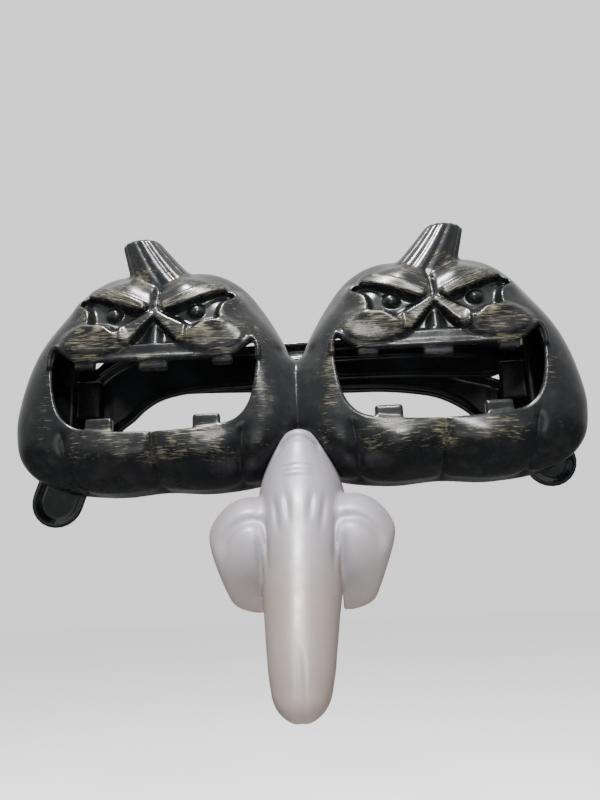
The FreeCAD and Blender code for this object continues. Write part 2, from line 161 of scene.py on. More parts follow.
def surface_nets(field, low, step):
    """Vertices and quads of the field's zero surface."""
    inside = field < 0
    count = np.zeros([n - 1 for n in field.shape], np.int8)
    for i in (0, 1):
        for j in (0, 1):
            for k in (0, 1):
                count += inside[i:i + count.shape[0], j:j + count.shape[1],
                                k:k + count.shape[2]]
    cells = np.argwhere((count > 0) & (count < 8))
    total = np.zeros((len(cells), 3))
    hits = np.zeros(len(cells))
    corner = [(i, j, k) for i in (0, 1) for j in (0, 1) for k in (0, 1)]
    for a in corner:
        for axis in range(3):
            if a[axis]:
                continue
            b = list(a)
            b[axis] = 1
            fa = field[tuple((cells + a).T)]
            fb = field[tuple((cells + b).T)]
            cut = (fa < 0) != (fb < 0)
            t = np.where(cut, fa / np.where(cut, fa - fb, 1), 0)
            point = np.array(a, float) + np.eye(3)[axis] * t[:, None]
            total += np.where(cut[:, None], point, 0)
            hits += cut
    verts = low + step * (cells + total / hits[:, None])
    number = np.full(count.shape, -1, np.int64)
    number[tuple(cells.T)] = np.arange(len(cells))
    quads = []
    for axis in range(3):
        near = [slice(1, -1)] * 3
        far = [slice(1, -1)] * 3
        near[axis] = slice(0, -1)
        far[axis] = slice(1, None)
        first, second = inside[tuple(near)], inside[tuple(far)]
        b, c = [(1, 2), (2, 0), (0, 1)][axis]
        for flip in (False, True):
            where = np.argwhere((first & ~second) if not flip else (~first & second))
            base = where.copy()
            base[:, b] += 1
            base[:, c] += 1
            ring = []
            for db, dc in ((0, 0), (-1, 0), (-1, -1), (0, -1)):
                cell = base.copy()
                cell[:, b] += db
                cell[:, c] += dc
                ring.append(number[tuple(cell.T)])
            if flip:
                ring = ring[::-1]
            quads.append(np.stack(ring, axis=1))
    return verts, np.concatenate(quads)


def sample(field, low, step, points):
    p = (points - low) / step
    top = np.array(field.shape) - 2
    i = np.clip(np.floor(p).astype(int), 0, top)
    t = np.clip(p - i, 0, 1)
    out = 0
    for a in (0, 1):
        for b in (0, 1):
            for c in (0, 1):
                w = (t[:, 0] if a else 1 - t[:, 0]) * (t[:, 1] if b else 1 - t[:, 1])
                w = w * (t[:, 2] if c else 1 - t[:, 2])
                out = out + w * field[i[:, 0] + a, i[:, 1] + b, i[:, 2] + c]
    return out


RELAX_ROUNDS = 3
RELAX_PULL = 0.6                # share of the way to the neighbours' middle, each round
FLAT_FIELD = 0.15               # least squared gradient, where the field is nearly flat


def relax(verts, quads, field, low, step):
    """Evens out the vertices and puts them back on the zero surface."""
    edges = np.concatenate([quads[:, [0, 1]], quads[:, [1, 2]], quads[:, [2, 3]], quads[:, [3, 0]]])
    degree = np.bincount(edges.ravel(), minlength=len(verts))[:, None]
    for _ in range(RELAX_ROUNDS):
        total = np.zeros_like(verts)
        for axis in range(3):
            total[:, axis] = (np.bincount(edges[:, 0], verts[edges[:, 1], axis], len(verts))
                              + np.bincount(edges[:, 1], verts[edges[:, 0], axis], len(verts)))
        verts = verts + RELAX_PULL * (total / np.maximum(degree, 1) - verts)
        value = sample(field, low, step, verts)
        grad = np.stack([(sample(field, low, step, verts + d) - sample(field, low, step, verts - d))
                         / step for d in np.eye(3) * step / 2], axis=1)
        square = np.maximum((grad ** 2).sum(axis=1), FLAT_FIELD)
        move = -(value / square)[:, None] * grad
        verts = verts + np.clip(move, -step, step)
    return verts


def mesh_object(name, verts, quads):
    mesh = bpy.data.meshes.new(name)
    verts = np.asarray(verts, np.float32) * MM
    mesh.vertices.add(len(verts))
    mesh.vertices.foreach_set("co", verts.ravel())
    quads = np.asarray(quads, np.int32)
    mesh.loops.add(quads.size)
    mesh.loops.foreach_set("vertex_index", quads.ravel())
    mesh.polygons.add(len(quads))
    mesh.polygons.foreach_set("loop_start", np.arange(len(quads), dtype=np.int32) * quads.shape[1])
    mesh.update(calc_edges=True)
    mesh.validate()
    mesh.shade_smooth()
    obj = bpy.data.objects.new(name, mesh)
    bpy.context.scene.collection.objects.link(obj)
    return obj


def carve(name, grid, field):
    verts, quads = surface_nets(field, grid.low, grid.step)
    verts = relax(verts, quads, field, grid.low, grid.step)
    return mesh_object(name, verts, quads)


def mirrored(grid, field):
    """The field with its mirror image across x = 0 put beside it; grid.x starts at 0."""
    full = np.concatenate([field[:0:-1], field])
    low = grid.low.copy()
    low[0] = -grid.step * (field.shape[0] - 1)
    both = Grid.__new__(Grid)
    both.low, both.step = low, grid.step
    return both, full


# ------------------------------------------------------------------------- the front frame

SPACING = 83.5
DEPTH = 24.0
WALL = 1.7
ROUND = 14.0                    # rounding between the front and the sides
HINGE_X = 73.0
# Where each arm is hinged: its side, and its middle plane along Y.
HINGES = {"right": (1, 2.7), "left": (-1, 6.2)}
ROOT = (9.0, 17.5)              # the arms' barrels, bottom and top
EAR = 2.0                       # the hinge ears' radius and thickness
EAR_GAP = 0.2

# Right half of a pumpkin's outline: (distance from its middle, height).
PUMPKIN = [(0, 41.2), (9, 43.6), (18, 42.3), (25.8, 37.2), (32.2, 28.6), (37.4, 18.8), (41.4, 8.6),
           (43.7, -2.0), (43.9, -9.0), (42.2, -16.6), (37.0, -22.4), (28.5, -25.7), (14, -27.2),
           (0, -26.3)]
MOUTH = [(0, 10.2), (12, 10.2), (20.0, 10.4), (24.0, 11.2), (27.0, 13.2), (29.2, 15.0),
         (30.4, 12.4), (30.3, 8.0), (29.4, 1.5), (27.4, -4.8), (23.6, -8.8), (17.5, -10.4),
         (8.0, -11.2), (0, -11.3)]
SOCKET = [(4.0, 24.6), (10.0, 27.8), (16.0, 30.8), (20.5, 32.4), (23.8, 30.4), (20.4, 27.4),
          (19.4, 24.2), (19.2, 21.9), (15.0, 21.2), (11.6, 18.8), (9.6, 20.4), (6.5, 22.4)]
NOSE_BAND = [(0.0, 26.4), (5.0, 22.9), (9.8, 20.4), (9.6, 15.9), (7.6, 15.0), (0.0, 23.4)]


def both_halves(points):
    return points + [(-a, b) for a, b in points[-2:0:-1]]


def face_relief(u, z):
    """How far the face stands out from the plain rounded front, in mm."""
    a = np.abs(u)

    # two lobes under the stem
    relief = 1.5 * np.exp(-(((a - 6.6) / 5.6) ** 2 + ((z - 35.5) / 6.0) ** 2))

    # eye sockets, with a raised scalloped edge on the temple and cheek side
    socket = outline_2d(a, z, curve_points(SOCKET, True, 5))
    below_brow = 1 - ramp(z - 0.43 * a, 21.5, 24.5)
    rim = ramp(socket, -0.5, 0.5) * np.exp(-(np.maximum(socket, 0) / 3.4) ** 2)
    relief = relief + 1.15 * rim * below_brow * ramp(a, 8.5, 12.0)
    relief = relief - 1.7 * ramp(-socket, -0.4, 1.6)

    # slanting brows that overhang the sockets
    d, t = segment_2d(a, z, (3.9, 27.2), (19.0, 34.0))
    width = 1.25 + 0.9 * t
    relief = relief + 2.1 * (1 - ramp(d, width, width + 0.8)) * (1 - 0.35 * t)

    # cheek plates, and the smooth upper lip between them
    cheek = np.hypot((a - 18.0) / 11.0, (z - 16.8) / 5.8)
    relief = relief + 1.0 * (1 - ramp(cheek, 0.7, 1.08))

    # the nose: a hollow triangle with a middle ridge under two raised bands
    band = outline_2d(a, z, np.array(both_halves(NOSE_BAND)[:6], float))
    relief = relief + 1.5 * (1 - ramp(band, -0.3, 0.6))
    triangle = ramp(-np.maximum((a - (24.0 - z) * 0.84) * 0.77, 15.0 - z), -0.2, 0.8)
    relief = relief - 2.0 * triangle + 1.3 * triangle * (1 - ramp(a, 0.0, 3.4))

    # groove from the stem down to the nose
    groove = np.exp(-(a / 0.95) ** 2) * ramp(z, 24.5, 27.5)
    return relief - 1.7 * groove


def lower_creases(u, z):
    """Creases between the lower lip's lobes, deepest low down."""
    a = np.abs(u)
    side_at = 25.2 + 0.15 * (z + 18.0)
    middle = np.exp(-a / 0.9)
    side = np.exp(-np.abs(a - side_at) / 1.8)
    return (1.5 * middle + 1.45 * side) * (1 - ramp(z, -14.0, -9.0))


def pumpkin_field(g, u):
    """A pumpkin's outside, and the plainer form that its hollow is offset from."""
    flat_u, flat_z = u[:, 0, :], g.z[:, 0, :]
    ring = curve_points(both_halves(PUMPKIN), True, 5)
    side = outline_2d(flat_u, flat_z, ring)[:, None, :]
    q1 = side + ROUND
    q2 = -g.y - (DEPTH - ROUND)
    body = (np.minimum(np.maximum(q1, q2), 0)
            + np.hypot(np.maximum(q1, 0), np.maximum(q2, 0)) - ROUND)
    # the lower lip bulges forward like two sausages, and the brow leans back
    sausage = 1.0 + 0.5 * np.cos(np.clip((np.abs(flat_u) - 12.5) / 12.5, -1, 1) * math.pi)
    lip = 1.5 * np.exp(-((flat_z + 18.5) / 6.0) ** 2) * sausage
    lip = lip * np.exp(-(np.abs(flat_u) / 33.0) ** 4)
    brow_lean = 3.4 * ramp(flat_z, 14.0, 40.0)
    creases = lower_creases(flat_u, flat_z)
    top_notch = 1.2 * np.exp(-np.abs(flat_u) / 2.4) * ramp(flat_z, 32.0, 39.0)
    frontness = ramp(-g.y, 8.0, 17.0)
    plain = body + (brow_lean - lip)[:, None, :] * frontness
    relief = face_relief(flat_u, flat_z) * ramp(flat_z, 8.0, 11.0)
    outside = (plain - relief[:, None, :] * frontness
               + creases[:, None, :] * ramp(-g.y, 2.0, 9.0) + top_notch[:, None, :])
    thicker = 2.3 * ramp(flat_z, 10.0, 17.0) + 1.2 * ramp(-flat_z, 12.0, 17.0)
    return outside, plain + WALL + thicker[:, None, :] * frontness


def stem_field(g, u):
    """Ribbed stalk whose outer side stands nearly upright."""
    t = np.clip((g.z - 37.0) / 17.0, 0, 1)
    left = -15.0 + 16.2 * t ** 0.8
    right = 9.6 + 4.0 * t
    mid, half = (left + right) / 2, (right - left) / 2
    deep = 6.6 - 2.2 * t
    px, py = (u - mid) / half, (g.y + 11.5) / deep
    radius = np.maximum(np.hypot(px, py), 1e-3)
    ribs = np.abs(np.sin(np.arctan2(py, px) * 7.0 + 0.5)) ** 0.7
    size = half * deep / np.hypot(half * py / radius, deep * px / radius)
    side = (radius - 1) * size * 0.85 + 0.42 * (1 - ribs)
    end = g.z - (54.4 - 0.10 * (u - 6.0)) + 0.35 * radius
    return smooth_max(np.maximum(side, 33.0 - g.z), end, 1.6)


# Boxes: (low corner, high corner). The bridge joins the pumpkins, the saddle is cut out
# for the wearer's nose, and lug and plate stand behind each mouth's outer end.
BRIDGE = ((-14, -19.5, -13.5), (14, -1, 9.5))
SADDLE = ((-9.3, -10.4, -60), (9.3, 20, 1.4))
HINGE_LUG = ((71, -7, -6.0), (80, 0, 19.7))
LUG_PLATE = ((63.5, -4.2, -2.0), (80, -1.2, 10.5))

# Balls: (centre, radius), with the centre's x from the pumpkin's middle.
EYE = ((12.4, -19.9, 25.4), 2.8)
DIMPLE = ((0.0, -23.4, -23.4), 0.9)
BOSS_RADIUS = 2.7

# Teeth: (distance from the middle, width, low edge, high edge).
TEETH = [(0.0, 8.8, 7.0, 12.0), (20.4, 6.2, 8.0, 12.6), (15.6, 8.0, -13.5, -6.9)]


def front_field(g):
    u = g.x - SPACING / 2
    body, hollow = pumpkin_field(g, u)
    bridge = box_at(g, *BRIDGE, 5.0)
    both = smooth_min(body, bridge, 5.0)
    # across the middle the two pumpkins run into each other
    shell = np.maximum(both, -smooth_min(hollow, bridge + WALL, 3.0))
    shell = smooth_min(shell, np.maximum(stem_field(g, u), -(body + 0.6)), 1.6)
    shell = np.maximum(shell, g.y)

    flat_u, flat_z = u[:, 0, :], g.z[:, 0, :]
    mouth = outline_2d(flat_u, flat_z, curve_points(both_halves(MOUTH), True, 5))[:, None, :]
    shell = smooth_max(shell, -mouth, 0.7)
    # a bead runs along the upper lip
    bead = np.hypot(mouth - 0.5, g.y + DEPTH - 0.5) - 0.85
    shell = smooth_min(shell, np.maximum(bead, 9.0 - g.z), 0.7)

    for offset, width, low, high in TEETH:
        tooth = rounded_box(np.abs(u) - offset, g.y + 22.6, g.z - (low + high) / 2,
                            (width / 2, 1.25, (high - low) / 2), 0.8)
        shell = smooth_min(shell, tooth, 0.6)
    eye = ball(np.abs(u), g.y, g.z, *EYE)
    shell = smooth_min(shell, eye, 0.3)
    dimple = ball(u, g.y, g.z, *DIMPLE)
    shell = np.maximum(shell, -dimple)

    # the arch over the nose, and the saddle for the wearer's nose behind it
    arch_half = 12.4 * np.clip((-12.2 - flat_z) / 15.0, 0, 1.2) ** 0.62
    arch = (g.x - arch_half[:, None, :]) * 0.8
    arch = np.maximum(arch, g.z + 12.4)
    shell = smooth_max(shell, -arch, 0.8)
    saddle = box_at(g, *SADDLE, 2.0)
    shell = smooth_max(shell, -saddle, 0.8)
    boss = np.maximum(np.hypot(g.x - SCREWS[0], g.z - SCREWS[1]) - BOSS_RADIUS,
                      np.abs(g.y + 14.5) - 4.0)
    shell = smooth_min(shell, boss, 0.5)
    # a lug inside the outer wall carries the hinge, and a plate stiffens it
    lug = np.minimum(box_at(g, *HINGE_LUG, 0.8), box_at(g, *LUG_PLATE, 0.8))
    lug = np.maximum(lug, body + 0.5)
    return smooth_min(shell, lug, 1.0)


def hinge_ears(g):
    """The two ears on each side, which hold the hinge pins."""
    ears = np.full((1, 1, 1), 99.0)
    for side, plane in HINGES.values():
        for low in (ROOT[0] - EAR_GAP - EAR, ROOT[1] + EAR_GAP):
            stalk = box_at(g, (side * HINGE_X - EAR, -3.0, low),
                           (side * HINGE_X + EAR, plane, low + EAR), 0.3)
            ring = np.maximum(np.hypot(g.x - side * HINGE_X, g.y - plane) - EAR,
                              np.abs(g.z - low - EAR / 2) - EAR / 2)
            ears = np.minimum(ears, np.minimum(stalk, ring))
    return ears


STEP = 0.45


def vertices(obj):
    """A mesh's vertices in millimetres, and its vertex normals."""
    co = np.empty(len(obj.data.vertices) * 3, np.float32)
    obj.data.vertices.foreach_get("co", co)
    normal = np.empty_like(co)
    obj.data.vertices.foreach_get("normal", normal)
    return co.reshape(-1, 3) / MM, normal.reshape(-1, 3)


def attribute(obj, name, values):
    kind = "FLOAT" if values.ndim == 1 else "FLOAT_VECTOR"
    data = obj.data.attributes.new(name, kind, "POINT").data
    data.foreach_set("value" if kind == "FLOAT" else "vector",
                     np.asarray(values, np.float32).ravel())


def spot(u, z, centre, half):
    return np.exp(-(((u - centre[0]) / half[0]) ** 2 + ((z - centre[1]) / half[1]) ** 2))


def brush_attributes(obj):
    """How much gold the dry brush left, and which way its strokes run."""
    co, normal = vertices(obj)
    u, y, z = np.abs(co[:, 0]) - SPACING / 2, co[:, 1], co[:, 2]
    a = np.abs(u)
    relief = face_relief(u, z)
    upper = ramp(z, 12.0, 14.0)
    gold = (upper * (1 - ramp(z, 41.0, 46.0)) + 0.1) * np.clip(0.14 + 0.18 * relief, 0.0, 0.5)
    d, _ = segment_2d(a, z, (3.9, 27.2), (17.0, 33.2))
    gold += 0.17 * (1 - ramp(d, 0.8, 2.8))                         # brows
    gold += 0.24 * spot(a, z, (17.0, 17.5), (11.0, 5.5))            # cheeks
    gold += 0.20 * spot(a, z, (9.0, 36.0), (7.0, 4.0))             # lobes
    gold += 0.30 * (1 - ramp(np.abs(z - 11.4), 0.5, 1.6)) * (1 - ramp(a, 27, 30))
    gold += 0.62 * spot(u, z, (-31.5, 2.0), (3.2, 12.0))           # inner side of the mouth
    gold += 0.35 * spot(u, z, (31.0, 0.0), (3.0, 14.0))
    gold += 0.30 * spot(u, z, (-34.0, -17.0), (5.0, 7.0))
    lip = 0.50 * ramp(z, -23.0, -17.5) * (1 - ramp(z, -11.5, -9.5)) * (1 - ramp(a, 21.0, 26.0))
    gold += lip * (1 - 0.45 * ramp(u, 0.0, 6.0))
    for offset, width, low, high in TEETH:
        gold += 0.24 * (1 - ramp(np.abs(a - offset), width / 2, width / 2 + 0.8)) * (
            (z > low - 0.5) & (z < high))
    gold += 0.28 * spot(u, z, (0.0, 43.0), (9.0, 4.0))             # foot of the stem
    gold *= ramp(-normal[:, 1], -0.05, 0.45) * ramp(-y, 7.0, 15.0)
    attribute(obj, "gold", np.clip(gold, 0, 1))
    slope = 0.45 * ramp(z, 19.0, 25.0) - 0.10 * ramp(-z, 12.0, 20.0)
    attribute(obj, "strokes", np.stack([co[:, 0], y, z - slope * a], axis=1))


def make_front():
    g = Grid((0, -30, -32), (88, 9.5, 57), STEP)
    both, field = mirrored(g, front_field(g))
    full = Grid(both.low, (-both.low[0], 9.5, 57), STEP)
    n = field.shape
    field = smooth_min(field, np.broadcast_to(hinge_ears(full)[:n[0], :n[1], :n[2]], n), 0.4)
    return carve("pumpkin_front", both, field)


# ---------------------------------------------------------------------------- the witch nose

# Heights down the nose: (height, half width, front, back).
NOSE = [(-12.0, 4.0, -23.6, -9), (-14.5, 6.2, -25.2, -9), (-20.0, 9.2, -28.0, -9),
        (-27.0, 11.9, -31.0, -9), (-33.0, 13.0, -34.0, -9), (-40.0, 12.9, -38.5, -10),
        (-48.0, 11.9, -44.0, -15), (-56.0, 10.6, -50.0, -26), (-63.0, 9.3, -55.5, -37),
        (-70.0, 8.2, -60.0, -46), (-76.0, 7.2, -62.6, -52), (-80.8, 5.6, -63.6, -56),
        (-84.0, 2.6, -62.4, -58.5)]
NOSE_WALL = 1.7
WING_ROOT = 10.2                # how far out the wings leave the body
TAB = ((-8.6, -10.5, -16.8), (8.6, -8.7, 0.6))
SCREWS = (5.5, -5.0)            # distance from the middle, height
# Creases fan out down the ridge: (x and z at the top, x and z at the bottom).
NOSE_CREASES = [((3.6, -31.0), (2.5, -40.5)), ((6.9, -32.0), (5.2, -43.5)),
                ((9.4, -38.0), (8.2, -53.0)), ((11.2, -42.0), (10.2, -56.0))]
WRINKLES = (-23.2, -24.8, -26.2)


def nose_field(g):
    z = g.z
    half = smooth_table(z, NOSE, 1)
    front = smooth_table(z, NOSE, 2)
    back = smooth_table(z, NOSE, 3)
    deep = back - front
    px = g.x / half
    py = np.minimum(g.y - back, 0) / deep
    radius = np.maximum((np.abs(px) ** 2.2 + np.abs(py) ** 2.2) ** (1 / 2.2), 1e-3)
    size = half * deep / np.maximum(np.hypot(half * py / radius, deep * px / radius), 0.5)
    body = (radius - 1) * size * 0.8
    body = smooth_max(body, z + 12.6, 1.5)
    body = smooth_max(body, -83.9 - z, 2.5)

    # nostril wings, cut to a corner low on the outside
    wing = ellipsoid(g, (14.0, -20.5, -47.0), (12.8, 13.0, 15.8))
    wing = smooth_max(wing, 0.93 * (g.x - 25.0) - 0.37 * (z + 45.0), 2.2)
    wing = smooth_max(wing, 0.33 * (g.x - 19.0) - 0.94 * (z + 60.6), 1.6)
    # a rolled rim over the wing, with a hollow under it
    around = np.hypot(g.x - 13.0, (z + 47.0) * 0.92)
    arc = ramp(z, -49.0, -43.0)
    wing = wing + 1.1 * np.exp(-((around - 7.6) / 1.5) ** 2) * arc
    outside = smooth_min(body, wing, 1.6)
    inside = outside + NOSE_WALL
    wing_back = -8.6 + 0.35 * np.maximum(-47.0 - z, 0)
    open_back = np.where(g.x > WING_ROOT, wing_back, np.minimum(back, wing_back))
    shell = np.maximum(outside, g.y - open_back)

    # age lines
    flat_x, flat_z = g.x[:, 0, :], z[:, 0, :]
    lines = np.zeros(np.broadcast(flat_x, flat_z).shape)
    for top, bottom in NOSE_CREASES:
        d, t = segment_2d(flat_x, flat_z, top, bottom)
        lines += 0.62 * np.exp(-(d / 0.75) ** 2) * np.sin(np.pi * np.clip(t, 0.04, 0.96))
    for height in WRINKLES:
        bend = 0.02 * flat_x ** 2
        lines -= 0.34 * np.exp(-((flat_z - height + bend) / 0.38) ** 2) * (
            1 - ramp(flat_x, 2.5, 4.6))
    lines += 0.8 * np.exp(-((flat_z + 15.4 + 0.10 * flat_x ** 2) / 1.0) ** 2) * (
        1 - ramp(flat_x, 5.0, 7.0))
    lines += 0.35 * np.exp(-(flat_x / 0.9) ** 2) * ramp(-flat_z, 66.0, 74.0)
    shell = shell + lines[:, None, :] * ramp(-g.y, 16.0, 22.0)
    shell = smooth_max(shell, -inside, 0.5)

    tab = box_at(g, *TAB, 0.6)
    tab = np.maximum(tab, 1.35 - np.hypot(g.x - SCREWS[0], g.z - SCREWS[1]))
    return smooth_min(shell, tab, 0.8)


def make_nose():
    step = 0.5
    g = Grid((0, -66, -86), (28, -7, 3), step)
    both, field = mirrored(g, nose_field(g))
    return carve("witch_nose_skin", both, field)


# ------------------------------------------------------------------------------ temple arms

ARM_THICK = 2.6
# Middle line of each arm: (distance from the hinge, height, half height).
ARMS = {
    "right": [(0.0, 13.25, 4.25), (5.0, 13.3, 4.4), (9.5, 13.9, 6.6), (14.0, 14.2, 7.1),
              (27.0, 15.0, 7.2), (42.0, 15.5, 7.0), (73.0, 15.4, 6.9), (90.0, 14.6, 7.2),
              (106.0, 14.2, 7.3), (118.0, 13.2, 8.2), (127.0, 10.6, 9.6), (134.0, 5.2, 10.0),
              (139.5, -1.8, 8.6), (143.5, -11.0, 7.7), (148.5, -20.0, 8.2), (151.0, -27.0, 8.2)],
    "left": [(0.0, 13.25, 4.25), (5.0, 13.3, 4.4), (9.5, 14.0, 7.0), (14.0, 14.6, 7.8),
             (24.0, 14.6, 7.5), (42.0, 13.8, 6.4), (72.0, 12.6, 6.4), (88.0, 11.0, 5.8),
             (100.0, 9.9, 5.0), (110.0, 8.8, 5.0), (119.0, 7.2, 5.3), (127.0, 4.2, 6.2),
             (134.0, 0.6, 7.8), (141.0, -5.6, 8.9), (147.5, -13.4, 8.6), (151.5, -20.4, 8.2)],
}


def arm_ring(line, side):
    """Closed outline of an arm in x and z, with a round tip."""
    middle = np.array([(side * (HINGE_X - reach), z) for reach, z, _ in line])
    half = np.array([h for _, _, h in line])[:, None]
    along = np.gradient(middle, axis=0)
    along /= np.linalg.norm(along, axis=1)[:, None]
    across = np.stack([-along[:, 1], along[:, 0]], axis=1)
    upper = curve_points(middle + across * half, False, 4)
    lower = curve_points(middle - across * half, False, 4)
    turn = np.linspace(0, np.pi, 13)[1:-1, None]
    tip = middle[-1] + half[-1] * (np.cos(turn) * across[-1] + np.sin(turn) * along[-1])
    return np.concatenate([upper, tip, lower[::-1]])


def arm_field(g, word):
    side, plane = HINGES[word]
    line = ARMS[word]
    flat_x, flat_z = g.x[:, 0, :], g.z[:, 0, :]
    edge = outline_2d(flat_x, flat_z, arm_ring(line, side))
    reach = HINGE_X - side * flat_x
    # a channel: lips along both edges, and a floor that is thinner in the middle
    sunk = 1.45 * ramp(-edge, 0.5, 3.4) * ramp(reach, 5.0, 10.0)
    # a stiffening rib down the long part, and a raised pad on the knee
    middle = np.interp(reach, [p[0] for p in line], [p[1] for p in line])
    rib = np.exp(-((flat_z - middle - 1.2) / 0.7) ** 2) * ramp(reach, 12, 20)
    sunk = sunk - 0.7 * rib * (1 - ramp(reach, 78, 92))
    knee = rounded_box(flat_x + side * 66.5, 0 * flat_z, flat_z - 2.5, (4.2, 1.0, 5.2), 3.0)
    sunk = sunk - 0.75 * (1 - ramp(knee, -1.6, 0.8))
    front = plane - ARM_THICK / 2 + sunk
    crown = 0.7 * ramp(edge, -2.4, 0.0)
    back = plane + ARM_THICK / 2 - crown
    arm = smooth_max(front[:, None, :] - g.y, g.y - back[:, None, :], 0.3)
    arm = smooth_max(arm, 0.9 * edge[:, None, :], 0.6)
    barrel = np.maximum(np.hypot(g.x - side * HINGE_X, g.y - plane) - 1.9,
                        np.abs(g.z - sum(ROOT) / 2) - (ROOT[1] - ROOT[0]) / 2)
    return smooth_min(arm, barrel, 0.5)


def make_arm(word):
    side, plane = HINGES[word]
    x_range = sorted((side * 77.0, -side * 89.0))
    g = Grid((x_range[0], plane - 2.8, -38), (x_range[1], plane + 2.8, 24),
             0.4)
    field = arm_field(g, word)
    return carve(f"arm_skin_{word}", g, np.broadcast_to(field, [g.x.size, g.y.size, g.z.size]))


# -------------------------------------------------------------------------------- materials

class Surface:
    """A material and a short way to add linked nodes to it."""

    def __init__(self, name):
        self.material = bpy.data.materials.new(name)
        self.material.use_nodes = True
        self.tree = self.material.node_tree
        self.shader = self.tree.nodes["Principled BSDF"]

    def node(self, kind, sockets=(), **settings):
        node = self.tree.nodes.new("ShaderNode" + kind)
        for key, value in settings.items():
            setattr(node, key, value)
        for key, value in dict(sockets).items():
            self.put(node.inputs[key], value)
        return node

    def put(self, socket, value):
        if isinstance(value, bpy.types.NodeSocket):
            self.tree.links.new(value, socket)
        else:
            socket.default_value = value

    def set(self, **values):
        for key, value in values.items():
            self.put(self.shader.inputs[key.replace("_", " ")], value)

    def place(self):
        return self.node("TexCoord").outputs["Object"]

    def scaled(self, vector, scale):
        return self.node("Mapping", {"Vector": vector, "Scale": scale}).outputs[0]

    def noise(self, vector, scale, detail=2.0, rough=0.5):
        return self.node("TexNoise", {"Vector": vector, "Scale": scale, "Detail": detail,
                                      "Roughness": rough}).outputs["Fac"]

    def math(self, operation, a, b, clamp=False):
        return self.node("Math", {0: a, 1: b}, operation=operation, use_clamp=clamp).outputs[0]

    def span(self, value, low, high, to_low=0.0, to_high=1.0):
        return self.node("MapRange", {"Value": value, "From Min": low, "From Max": high,
                                      "To Min": to_low, "To Max": to_high}).outputs["Result"]

    def mix(self, amount, a, b):
        node = self.node("Mix", data_type="RGBA")
        self.put(node.inputs[0], amount)
        self.put(node.inputs[6], (*a, 1) if isinstance(a, tuple) else a)
        self.put(node.inputs[7], (*b, 1) if isinstance(b, tuple) else b)
        return node.outputs[2]

    def bump(self, height, strength, distance):
        self.set(Normal=self.node("Bump", {"Height": height, "Strength": strength,
                                           "Distance": distance}).outputs[0])


BLACK = (0.0035, 0.0038, 0.0042)
DUSTY = (0.009, 0.009, 0.009)
GOLD = (0.085, 0.078, 0.047)
PALE_GOLD = (0.185, 0.172, 0.112)


def brushed_black():
    """Black plastic dry-brushed with antique gold along the strokes attribute."""
    s = Surface("brushed_black_plastic")
    strokes = s.node("Attribute", attribute_name="strokes").outputs["Vector"]
    gold = s.node("Attribute", attribute_name="gold").outputs["Fac"]
    fine = s.noise(s.scaled(strokes, (0.22, 0.9, 3.4)), 1.0, 3.0, 0.6)
    hair = s.noise(s.scaled(strokes, (0.30, 1.4, 8.0)), 1.0, 2.0, 0.6)
    patch = s.noise(strokes, 0.16, 2.0)
    total = s.math("ADD", s.math("MULTIPLY", fine, 1.3), s.math("MULTIPLY", hair, 0.6))
    total = s.math("ADD", total, s.math("MULTIPLY", patch, 0.6))
    total = s.math("ADD", total, s.math("MULTIPLY", gold, 0.5))
    amount = s.span(total, 1.56, 1.86)
    amount = s.math("MULTIPLY", amount, s.span(gold, 0.02, 0.18))
    base = s.mix(s.span(s.noise(s.place(), 260.0, 4.0, 0.7), 0.48, 0.75), BLACK, DUSTY)
    metal = s.mix(s.span(hair, 0.40, 0.68), GOLD, PALE_GOLD)
    s.set(Base_Color=s.mix(s.math("MULTIPLY", amount, 0.72), base, metal),
          Roughness=s.math("ADD", s.math("MULTIPLY", amount, 0.18),
                           s.span(patch, 0.3, 0.7, 0.20, 0.30)),
          Metallic=s.math("MULTIPLY", amount, 0.45), Specular_IOR_Level=0.26)
    grain = s.math("ADD", s.math("MULTIPLY", s.math("MULTIPLY", fine, gold), 0.8),
                   s.math("MULTIPLY", s.noise(s.place(), 900.0, 3.0), 0.25))
    s.bump(grain, 0.35, 0.00022)
    return s.material


def glossy_black():
    s = Surface("black_plastic")
    cloud = s.noise(s.place(), 140.0, 3.0)
    fine = s.noise(s.scaled(s.place(), (300.0, 1500.0, 1500.0)), 1.0, 3.0)
    s.set(Base_Color=s.mix(s.span(cloud, 0.42, 0.72), BLACK, (0.008, 0.009, 0.010)),
          Roughness=s.span(fine, 0.35, 0.7, 0.16, 0.27), Specular_IOR_Level=0.36)
    s.bump(s.math("ADD", s.math("MULTIPLY", fine, 0.3), cloud), 0.18, 0.0002)
    return s.material


def nose_plastic():
    """Translucent lavender grey, with painted shade and a painted reflection of a brown table:
    darker and browner towards the tip, browner along the edges.
    """
    s = Surface("nose_plastic")
    place = s.place()
    height = s.node("SeparateXYZ", {"Vector": place}).outputs["Z"]
    # painted shade and painted reflection of a brown table: the colour turns darker and browner
    # down towards the tip, with random mottling added
    tip_shade_and_reflection = s.span(height, -0.030, -0.064)
    tip_shade_and_reflection = s.math("ADD", tip_shade_and_reflection, s.span(s.noise(place, 60.0, 3.0), 0.3, 0.7, -0.18, 0.18), True)
    # painted reflection of a brown table: edges that turn away from the view are tinted brown
    rim = s.node("LayerWeight", {"Blend": 0.28}).outputs["Facing"]
    tone = s.mix(tip_shade_and_reflection, (0.150, 0.150, 0.178), (0.120, 0.100, 0.090))
    tone = s.mix(s.math("MULTIPLY", rim, 0.55), tone, (0.13, 0.088, 0.070))
    speck = s.span(s.noise(place, 1500.0, 2.0, 0.7), 0.35, 0.75, 0.0, 0.16)
    s.set(Base_Color=s.mix(speck, tone, (0.10, 0.09, 0.09)),
          Roughness=s.span(s.noise(place, 220.0, 3.0), 0.3, 0.7, 0.36, 0.50),
          Subsurface_Weight=0.25, Subsurface_Radius=(0.004, 0.003, 0.0025),
          Subsurface_Scale=0.8, Specular_IOR_Level=0.45)
    s.bump(s.noise(place, 1300.0, 3.0, 0.6), 0.16, 0.00015)
    return s.material


